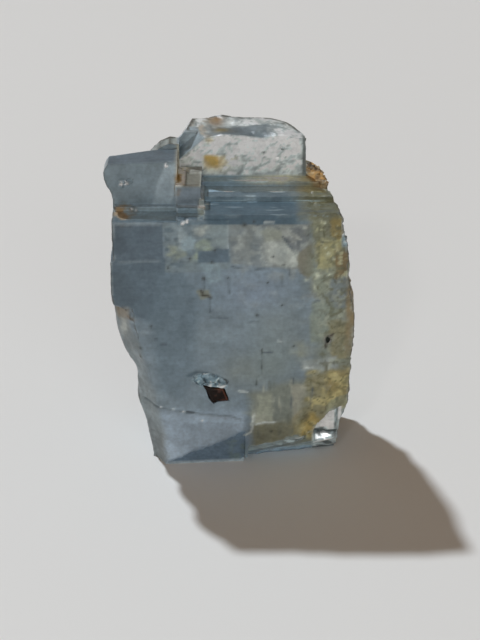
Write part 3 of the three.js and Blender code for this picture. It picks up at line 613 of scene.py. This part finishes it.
lay(ramp(normal[:, 2], 0.25, 0.5) * ramp(y, 3.5, 5.0) * ramp(z, 36.4, 35.8) * (1 - crest),
    (72, 82, 90), 0.4, 0.4)
# Painted light: tops in front of the crest, out of the lamp's reach, are paler, as if lit through the clear
# crest.
painted_glow = shelves * upward * in_lamp_shadow * (1 - crest) * ramp(y, 2.0, 1.2) * ramp(z, 39.2, 38.8) * (1 - lamp_lit_patch)
tint *= 1 + 1.5 * painted_glow[:, None]
clear *= 1 - 0.5 * painted_glow
# The clear crest, streaked and stained.
lay(crest, (208, 216, 214), 0.06, 0.3)
lay(crest_top, (170, 173, 170), 0.4, 0.4)
lay(crest_top * ramp(x, 3.0, 6.5) * 0.8, (194, 198, 195), 0.3, 0.4)
lay(crest_top * ramp(x + 0.8 * wisp, -0.8, -2.6) * ramp(y, 1.4, 2.4) * 0.9, (148, 138, 124), 0.35, 0.4)
lay(crest_top * ridge(place * (0.6, 0.6, 1), 1.2, 147, 0.06) * 0.8, (112, 116, 114), 0.4)
lay(crest_top * ramp(wisp, 0.0, 0.35) * 0.6, (138, 144, 144), 0.4)
lay(crest * ramp(normal[:, 1], -0.6, -0.2) * (1 - upward), (158, 166, 166), 0.45, 0.25)
swirl = (np.stack([x * 0.94 + z * 0.34, y, z * 0.94 - x * 0.34], axis=1)
         + 0.7 * noise(place, 1.4, 146, 3)[:, None])
lay(crest * ramp(noise(swirl * (0.5, 0.7, 1), 1.3, 141, 3), 0.0, 0.4) * 0.75, (146, 153, 153))
lay(crest * ramp(noise(swirl * (0.5, 0.7, 1), 0.9, 142, 3), 0.05, 0.45) * 0.7, (238, 243, 238))
lay(crest * ramp(noise(swirl * (0.4, 0.7, 1), 0.5, 143, 3), 0.05, 0.4) * 0.7, (122, 131, 133))
lay(crest * ramp(z + 0.5 * veil, 38.2, 37.2) * 0.5, (118, 128, 132))
lay(crest * ridge(swirl * (0.45, 0.7, 1), 1.5, 145, 0.16, 3) * ramp(veil + wisp, -0.4, 0.2)
    * (0.75 - 0.4 * around), (92, 100, 102))
lay(crest * ridge(place, 2.0, 149, 0.12, 3) * ramp(veil - crumb, 0.4, -0.2) * (0.65 - 0.4 * around),
    (98, 103, 102))
lay(crest_front * ramp(x + 0.3 * wisp, -4.2, -5.2) * 0.25, (150, 146, 134))
lay(crest * ramp(x + 0.3 * wisp, -3.6, -4.6) * ridge(place, 1.2, 151, 0.16) * 0.45, (100, 100, 92))
lay(crest * ramp(x + 0.3 * wisp, 7.6, 8.0) * 0.2, (146, 152, 152))
lay(crest_front * line(x + 0.2 * crumb, z + 0.15 * wisp, [(3, 38), (3.9, 38.4), (4.9, 38.9)], 0.4) * 0.8,
    (92, 100, 102))
# Painted shade: the crest's right edge is painted dark, as its outline looks seen edge on.
lay(crest * ramp(x + 0.1 * crumb, 8.75, 9.0) * ramp(y, 2.6, 1.8), (92, 98, 96), 0.4)
lay(crest * line(x, z + 0.1 * crumb, [(-6.1, 37.15), (-4, 37.2)], 0.4) * ramp(crumb, -0.4, 0.0),
    (66, 56, 44), 0.2)
# Painted light: the crest's sloping left end, in the corner block's shadow, is painted paler.
crest_end = (crest * ramp(-0.62 * (x + 4.9) - 0.35 * (y - 1.1) + 0.7 * (z - 40.7), -0.25, -0.05)
             * ramp(y, 4.2, 3.6))
lay(crest_end * 0.9, (122, 134, 141), 0.35)
lay(crest_top * ramp(y + 0.9 * wisp, 4.6, 3.4) * ramp(x, -3.4, -2.4) * ramp(x + 0.8 * wisp, 6.0, 4.0) * 0.9,
    (84, 95, 102), 0.5)
stain = (crest_front * ramp(x + 0.2 * wisp, -3.7, -3.1) * ramp(z + 0.2 * wisp, 40.0, 39.5)
         * np.exp(-np.clip(x + 2.2, 0, 9) ** 2 / 4.5 - (z - 39.1) ** 2 / 1.8))
lay(stain * (1.1 + 0.8 * veil), (160, 134, 74), 0.15)
lay(crest_front * 0.6 * spot(x, z, (-2.6, 41.8), (0.6, 0.4)), (150, 128, 80))
for middle, size, colour in (
        ((-1.9, 5.8), (0.9, 1.6), (112, 86, 54)), ((-1.2, 2.8), (1.2, 0.9), (104, 92, 58))):
    lay(crest_top * spot(x + 0.4 * crumb, y + 0.4 * wisp, middle, size) * 0.9, colour, 0.3)
# Rust: a crust on the right shoulder, and patches in the corners.
crust = ramp(np.hypot(x - 11.2, 0.45 * (y - 3.0)) + 0.3 * wisp, 2.1, 1.3) * ramp(z, 35.0, 36.0)
pellet = grains(place, 0.75, 157)
lay(crust, (112, 92, 62), 0.05, 0.8)
lay(crust * ramp(pellet, 0.05, 0.3) * 0.8, (144, 110, 62))
lay(crust * ramp(pellet, -0.1, -0.35) * 0.7, (84, 64, 42))
lay(crust * ramp(gritty, 0.25, 0.45) * 0.6, (156, 142, 112))
lay(crust * ramp(crumb, 0.25, 0.5) * 0.6, (62, 48, 38))
left_rust = ramp(np.sqrt((x + 13.1) ** 2 + 0.4 * (y + 5.2) ** 2 + (z - 34.6) ** 2) + 0.9 * wisp
                 + 0.9 * crumb, 1.7, 0.1)
lay(left_rust * 0.8, (116, 108, 90), 0.2, 0.5)
lay(ramp(left_rust + 0.5 * veil + 0.3 * gritty, 0.4, 1.0) * 0.7, (126, 100, 64), 0.1, 0.7)
lay(ramp(left_rust + 0.6 * crumb, 0.8, 1.2) * 0.6, (92, 74, 54))
notch_rust = (ramp(np.hypot(1.9 * (x + 6.4), 0.5 * (y + 2.8)) + 0.7 * wisp, 1.2, 0.4) * ramp(z, 36.0, 37.0)
              * ramp(z + 0.3 * crumb, 39.7, 39.2))
lay(notch_rust, (122, 98, 56), 0.1, 0.7)
left_stain = (ramp(np.hypot(x + 13.7, 0.9 * (z - 21.7)) + 0.6 * wisp + 0.4 * crumb, 1.6, 0.5)
              * ramp(y, -3.0, -4.5))
lay(left_stain * 0.8, (114, 102, 84), 0.3, 0.5)
lay(left_stain * ramp(crumb, 0.1, 0.4) * 0.8, (92, 78, 60), 0.2, 0.6)
lay(spot(x + 0.3 * crumb, z, (-12.5, 21.3), (0.5, 0.25)) * ramp(y, -5, -6) * 0.9, (112, 94, 72), 0.3)
lay(spot(x + 0.4 * crumb, z + 0.3 * wisp, (-13.6, 19.6), (0.5, 1.3)) * ramp(y, -3, -4.5) * 0.7,
    (158, 160, 154), 0.3)
lay(front * area(x + 0.3 * crumb, z, [(-4, 25.4), (-2.8, 25.4), (-2.4, 24.6), (-3.8, 24.3)], 0.3) * 0.6,
    (116, 112, 84), 0.3)
for bend in (
        [(-3.7, 25.4), (-3.5, 25.1)], [(-3.5, 24.75), (-2.9, 24.7), (-2.5, 24.4)],
        [(-3.35, 27.2), (-3.3, 27)]):
    lay(front * line(x, z, bend, 0.38), (40, 38, 32), 0.05)
for bend in (
        [(-3.3, 27), (-3.3, 25.5)], [(-2.6, 24.4), (-2.6, 22.4)], [(-2.6, 21.7), (-0.4, 21.6)],
        [(-0.2, 27), (-0.25, 25)], [(-7.9, 28.15), (-6.6, 28.2)], [(-6.1, 29.5), (-5.2, 29.35)],
        [(6.3, 27.4), (6.4, 26)], [(10.3, 23.6), (11, 23.9)], [(3.1, 34.3), (5, 34.4), (5.9, 33.9)],
        [(0.2, 28.7), (1.6, 28.6)], [(3.2, 28.4), (4.1, 28.5)], [(4, 16.7), (5.2, 16.7)],
        [(6.3, 32.7), (7.1, 31.6), (8, 30.6)], [(7.9, 12.9), (7.9, 12.2)], [(7.8, 10.2), (7.8, 8.6)],
        [(10.4, 11.4), (10.2, 9)], [(7.1, 28.6), (7.3, 27.6)], [(-13.9, 34.1), (-12.2, 34.1)],
        [(2, 21), (3.4, 21.1)], [(-8.9, 17.9), (-8.2, 17.9)]):
    lay(front * line(x + 0.12 * crumb, z + 0.12 * crumb, bend, 0.3) * (0.65 + 0.6 * gritty),
        (66, 74, 80), 0.2)
# Cracks, specks and worn edges, with painted glints, highlights and shade.
lay(front * 0.7 * line(x, z, CRACK, 0.28), (78, 88, 94))
lay(front * line(x, z, [(-5.7, 7.86), (-4.9, 7.78)], 0.3), (40, 46, 50), 0.1)
# Painted glints: white dots along the crack.
for dot in ((-9, 8.6), (-7.4, 8.3), (-6.1, 7.95), (-3.7, 6.6)):
    lay(front * spot(x, z, dot, (0.16, 0.14)), (200, 206, 208), 0.1, 0.3)
lay(front * 0.9 * line(x, z, RIGHT_CRACK, 0.28) * (0.8 + gritty), (62, 68, 66), 0.2)
# A dark gap shaped like a comma, with a paler ring round it.
lay(ramp(np.hypot(x - 12.3, z - 18.4), 0.9, 0.5) * ramp(y, -5, -6), (112, 112, 100), 0.2)
lay(line(x, z, [(12.9, 19.1), (12.25, 18.7), (12, 17.9), (12.05, 17.2)], 0.34) * ramp(y, -5, -6),
    (52, 48, 42), 0.1)
# Fine pale scratches, and dark specks.
for bend in (
        [(3.2, 6), (4.2, 6.35), (5.6, 6.4)], [(0.9, 11), (2.1, 10.9)], [(9.4, 14.5), (10.4, 14.45)],
        [(6, 18.4), (6.4, 18.2)], [(4.2, 34.75), (5.2, 34.7)], [(8.4, 3.9), (9.4, 4)]):
    lay(front * line(x + 0.12 * crumb, z + 0.12 * crumb, bend, 0.26) * (0.8 + 0.6 * gritty),
        (166, 172, 170), 0.2)
for u, v, size in (
        (-2.3, 29.35, 0.22), (-1.9, 30.95, 0.2), (6.5, 29.0, 0.2), (5.2, 30.1, 0.2), (-0.3, 27.2, 0.16),
        (1.7, 34.4, 0.35), (3.3, 22.0, 0.24), (6.4, 23.4, 0.16), (-10.0, 20.4, 0.2), (5.2, 5.0, 0.2),
        (-11.4, 17.2, 0.24), (2.85, 34.85, 0.2), (7.9, 17.6, 0.18), (-5.0, 29.85, 0.24), (-7.7, 28.6, 0.2),
        (-9.4, 18.6, 0.16), (4.6, 26.5, 0.16), (11.2, 31.9, 0.2)):
    lay(front * spot(x, z, (u, v), (size, size)), (50, 54, 54), 0.1)
lay(crest_front * spot(x, z, (4.1, 40.1), (0.3, 0.24)), (24, 26, 28), 0.1)
lay(in_pocket, (40, 34, 32), 0.1, 0.6)
pit = (area(x + 0.3 * crumb, z + 0.3 * gritty,
            [(-4.9, 12.7), (-3.6, 13.3), (-1.8, 12.9), (-0.6, 11.6), (-2.6, 11.7), (-4, 11.9)], 0.3)
       * near_face)
lay(pit, (126, 146, 156), 0.3, 0.2)
lay(pit * ramp(noise(place, 0.55, 171, 2), 0.0, 0.3), (190, 206, 212), 0.1, 0.2)
lay(pit * ramp(noise(place, 0.5, 175, 2), 0.2, 0.4), (60, 72, 80), 0.3)
lay(line(x + 0.2 * crumb, z, [(-5.3, 13.3), (-4.3, 13.75), (-3, 13.6), (-2, 12.9)], 0.5) * near_face * 0.9,
    (62, 76, 84), 0.3)
lay(spot(x, z, (-3.4, 12.4), (0.24, 0.24)) * near_face, (20, 26, 30), 0.1)
# Painted highlight: a white glint at the middle of each leaning flake.
lay(painted_glint, (250, 250, 250), 0.0, 0.05)
# Worn outer edges, paler partly from wear and partly as a painted highlight where they catch the light.
lay((0.4 - 0.3 * shelves) * worn_and_highlit, (160, 168, 169), 0.2, 0.4)
# Painted shade: inner corners darker.
lay(0.3 * ramp(outer, -0.15, -0.3) * (1 - shelves), (80, 88, 90))
# Painted shade: seen edge on, the clear stone looks dark along its outline, so the outline edges are
# painted dark, and so is the left side's front edge up to 24 mm.
painted_rim_shade = (ramp(outer, 0.06, 0.16) * ramp(np.abs(normal[:, 0]), 0.35, 0.6) * ramp(y, -2, -5) * ramp(z, 7.0, 9.0)
       * ramp(np.abs(x), 9, 10))
painted_rim_shade += crest * ramp(outer, 0.05, 0.16) * ramp(y, 2.2, 3.2)
lay(0.85 * painted_rim_shade, (60, 60, 56), 0.2)
lay(0.8 * ramp(normal[:, 1], -0.5, -0.25) * ramp(normal[:, 0], -0.7, -0.88) * ramp(y, -3.8, -4.6)
    * ramp(z, 24.5, 23.5), (66, 68, 66), 0.25)

# Every part is mottled: crisp growth blocks and grains, and fine streaks along the front.
shade = (1 + 0.12 * (bricks(place, (3.7, 3.1, 2.3), 181) - 0.5)
         + 0.08 * (bricks(place, (1.6, 1.4, 0.9), 185) - 0.5))
shade += 0.1 * grains(place, 1.3, 191) + 0.07 * noise(place * (0.3, 1, 1), 0.28, 195, 2) + 0.07 * crumb
shade += 0.1 * noise(place, 1.1, 197, 4) + 0.06 * front * ramp(x, -5, 1) * ramp(z, 33, 30) * ramp(z, 4, 7)
tint *= shade[:, None]

# The colours above are what reaches the eye. The stone itself is paler: it sends back more of the
# light than that, by this factor, up to what the whitest stone does.
PALER, WHITEST = 2.1, 0.95
tint = np.clip(tint * PALER, 0, WHITEST)
crystal.vertices.foreach_set("co", (place * MM).ravel())


def keep(mesh, tint, **fields):
    """Stores the colour and the other fields on the mesh's vertices, and smooths its faces."""
    colour = mesh.attributes.new("tint", "FLOAT_COLOR", "POINT")
    colour.data.foreach_set("color", np.concatenate([tint, np.ones((len(tint), 1))], axis=1).ravel())
    for name, values in fields.items():
        mesh.attributes.new(name, "FLOAT", "POINT").data.foreach_set("value", values)
    mesh.shade_smooth()
    mesh.set_sharp_from_angle(angle=np.radians(32))
    mesh.update()


keep(crystal, tint, clear=clear, rough=rough)

fluorite = bpy.data.materials.new("fluorite_stone")
fluorite.use_nodes = True
nodes, links = fluorite.node_tree.nodes, fluorite.node_tree.links
shader = nodes["Principled BSDF"]


def put(node, **values):
    """Sets a node's inputs by their names, with _ for each space."""
    for name, value in values.items():
        node.inputs[name.replace("_", " ")].default_value = value


put(shader, IOR=1.434)
tint_node, clear_node, rough_node = (nodes.new("ShaderNodeAttribute") for _ in range(3))
tint_node.attribute_name, clear_node.attribute_name, rough_node.attribute_name = "tint", "clear", "rough"
coordinates = nodes.new("ShaderNodeTexCoord")


def speckle(scale, detail, low, high):
    """A noise of the given scale per metre, stretched to run from low to high."""
    grain = nodes.new("ShaderNodeTexNoise")
    put(grain, Scale=scale, Detail=detail)
    links.new(coordinates.outputs["Object"], grain.inputs["Vector"])
    spread = nodes.new("ShaderNodeMapRange")
    put(spread, From_Min=0.3, From_Max=0.7, To_Min=low, To_Max=high)
    links.new(grain.outputs["Fac"], spread.inputs["Value"])
    return grain, spread


fine, fine_shade = speckle(2200, 4, 0.88, 1.12)
_, broad_shade = speckle(600, 4, 0.91, 1.09)
growth, growth_shade = speckle(2600, 3, 0.955, 1.045)
flatten = nodes.new("ShaderNodeMapping")
put(flatten, Scale=(0.14, 1.0, 1.0))
links.new(coordinates.outputs["Object"], flatten.inputs["Vector"])
links.new(flatten.outputs["Vector"], growth.inputs["Vector"])
both, all_three = nodes.new("ShaderNodeMath"), nodes.new("ShaderNodeMath")
both.operation = all_three.operation = "MULTIPLY"
links.new(fine_shade.outputs["Result"], both.inputs[0])
links.new(broad_shade.outputs["Result"], both.inputs[1])
links.new(both.outputs["Value"], all_three.inputs[0])
links.new(growth_shade.outputs["Result"], all_three.inputs[1])
mottle = nodes.new("ShaderNodeVectorMath")
mottle.operation = "SCALE"
links.new(tint_node.outputs["Color"], mottle.inputs[0])
links.new(all_three.outputs["Value"], mottle.inputs["Scale"])
links.new(mottle.outputs["Vector"], shader.inputs["Base Color"])
links.new(clear_node.outputs["Fac"], shader.inputs["Transmission Weight"])
links.new(rough_node.outputs["Fac"], shader.inputs["Roughness"])
bump = nodes.new("ShaderNodeBump")
put(bump, Distance=0.00005)
coarse = nodes.new("ShaderNodeMapRange")  # polished faces are smooth, rough ones are pitted
put(coarse, From_Min=0.1, From_Max=0.38, To_Min=0.0, To_Max=0.5)
links.new(rough_node.outputs["Fac"], coarse.inputs["Value"])
links.new(coarse.outputs["Result"], bump.inputs["Strength"])
links.new(fine.outputs["Fac"], bump.inputs["Height"])
links.new(bump.outputs["Normal"], shader.inputs["Normal"])
absorb = nodes.new("ShaderNodeVolumeAbsorption")
put(absorb, Color=(0.38, 0.62, 0.76, 1), Density=36)
links.new(absorb.outputs["Volume"], nodes["Material Output"].inputs["Volume"])


def placed(name, mesh, material, node):
    """Puts the finished mesh in the scene, riding on the one body in the place of its CAD node."""
    mesh.materials.clear()
    mesh.materials.append(material)
    piece = bpy.data.objects.new(name, mesh)
    bpy.context.scene.collection.objects.link(piece)
    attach(piece, "root")
    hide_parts(node)


placed("fluorite", crystal, fluorite, "fluorite_crystal")

# ---- The brown crystal -------------------------------------------------------------------------
# A small rhomb of iron carbonate, weathered to a dark brown, that the fluorite grew around. It has
# stepped cleavage faces. Its thin edges are painted reddish: painted light, for the little reddish
# light they let through.
rhomb = even_net(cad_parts["brown_rhomb"], depth=6)
place, normal = read(rhomb)
outer = outward_corner(rhomb, place, normal)
across = np.stack([place[:, 0] + 0.4 * place[:, 2], place[:, 1], place[:, 2]], axis=1)
place += (normal
          * (0.09 + 0.05 * bricks(across, (0.7, 0.5, 0.5), 301) - 0.06 * ramp(outer, 0.1, 0.3))[:, None])
x, y, z = place.T
# Painted light: outer edges on the right side reddish; the noise adds reddish tone at random.
edge = ramp(outer, 0.05, 0.2) * ramp(x + 0.3 * z, 0.9, 2.2)
tint = np.tile([0.012, 0.006, 0.004], (len(place), 1))
tint += (np.clip(edge + 0.4 * ramp(noise(place, 0.5, 311, 2), 0.1, 0.6), 0, 1)[:, None]
         * np.array([0.1, 0.036, 0.022]))
rhomb.vertices.foreach_set("co", (place * MM).ravel())
keep(rhomb, tint)

brown = bpy.data.materials.new("brown_rhomb_stone")
brown.use_nodes = True
nodes, links = brown.node_tree.nodes, brown.node_tree.links
shader = nodes["Principled BSDF"]
put(shader, IOR=1.6, Specular_IOR_Level=0.15)
tint_node, coordinates = nodes.new("ShaderNodeAttribute"), nodes.new("ShaderNodeTexCoord")
tint_node.attribute_name = "tint"
links.new(tint_node.outputs["Color"], shader.inputs["Base Color"])
pitting, pitting_shade = speckle(6000, 4, 0.25, 0.6)
links.new(pitting_shade.outputs["Result"], shader.inputs["Roughness"])
bump = nodes.new("ShaderNodeBump")
put(bump, Strength=0.6, Distance=0.00003)
links.new(pitting.outputs["Fac"], bump.inputs["Height"])
links.new(bump.outputs["Normal"], shader.inputs["Normal"])
placed("brown_rhomb_crystal", rhomb, brown, "brown_rhomb")

# ---- Floor, light and camera -------------------------------------------------------------------
# A pale matt table top under one lamp behind the left shoulder, in a dim warm room. A weak light in
# front catches the tilted flakes, and a broad one softens the shadows. The camera looks down on it all.
floor_mesh = bpy.data.meshes.new("floor")
floor_mesh.from_pydata([(-2, -2, 0), (2, -2, 0), (2, 2, 0), (-2, 2, 0)], [], [(0, 1, 2, 3)])
floor = bpy.data.objects.new("floor", floor_mesh)
bpy.context.scene.collection.objects.link(floor)
table_top = bpy.data.materials.new("pale_table")
table_top.use_nodes = True
put(table_top.node_tree.nodes["Principled BSDF"], Base_Color=(0.8, 0.79, 0.775, 1), Roughness=0.6)
floor_mesh.materials.append(table_top)

world = bpy.data.worlds.new("room")
world.use_nodes = True
put(world.node_tree.nodes["Background"], Color=(0.158, 0.108, 0.066, 1))
bpy.context.scene.world = world


def far_light(name, towards, strength, width, colour=(1, 1, 1)):
    """A light so far off that its rays run side by side: where it is, and its width in degrees."""
    light = bpy.data.lights.new(name, "SUN")
    light.energy, light.angle, light.color = strength, np.radians(width), colour
    light_object = bpy.data.objects.new(name, light)
    light_object.rotation_mode = "QUATERNION"
    light_object.rotation_quaternion = Vector(towards).to_track_quat("Z", "Y")
    bpy.context.scene.collection.objects.link(light_object)


far_light("lamp", LAMP, strength=2.42, width=3, colour=(0.86, 0.935, 1.0))
far_light("sparkler", (-0.238, -0.798, 0.549), strength=0.16, width=4)  # seen in the tilted flakes
far_light("fill", (0.1, -0.97, 0.2), strength=0.9, width=60, colour=(0.86, 0.95, 1.0))

camera = bpy.data.cameras.new("camera")
camera.lens, camera.sensor_width = 100, 36
camera_object = bpy.data.objects.new("camera", camera)
bpy.context.scene.collection.objects.link(camera_object)
eye, aim = Vector((1.15, -204.085, 125.63)) * MM, Vector((1.15, FACE, 21.3)) * MM
camera_object.location = eye
camera_object.rotation_mode = "QUATERNION"
camera_object.rotation_quaternion = (aim - eye).to_track_quat("-Z", "Y")
camera.clip_start, camera.clip_end = 0.01, 10
bpy.context.scene.camera = camera_object
bpy.context.scene.view_settings.view_transform = "Standard"
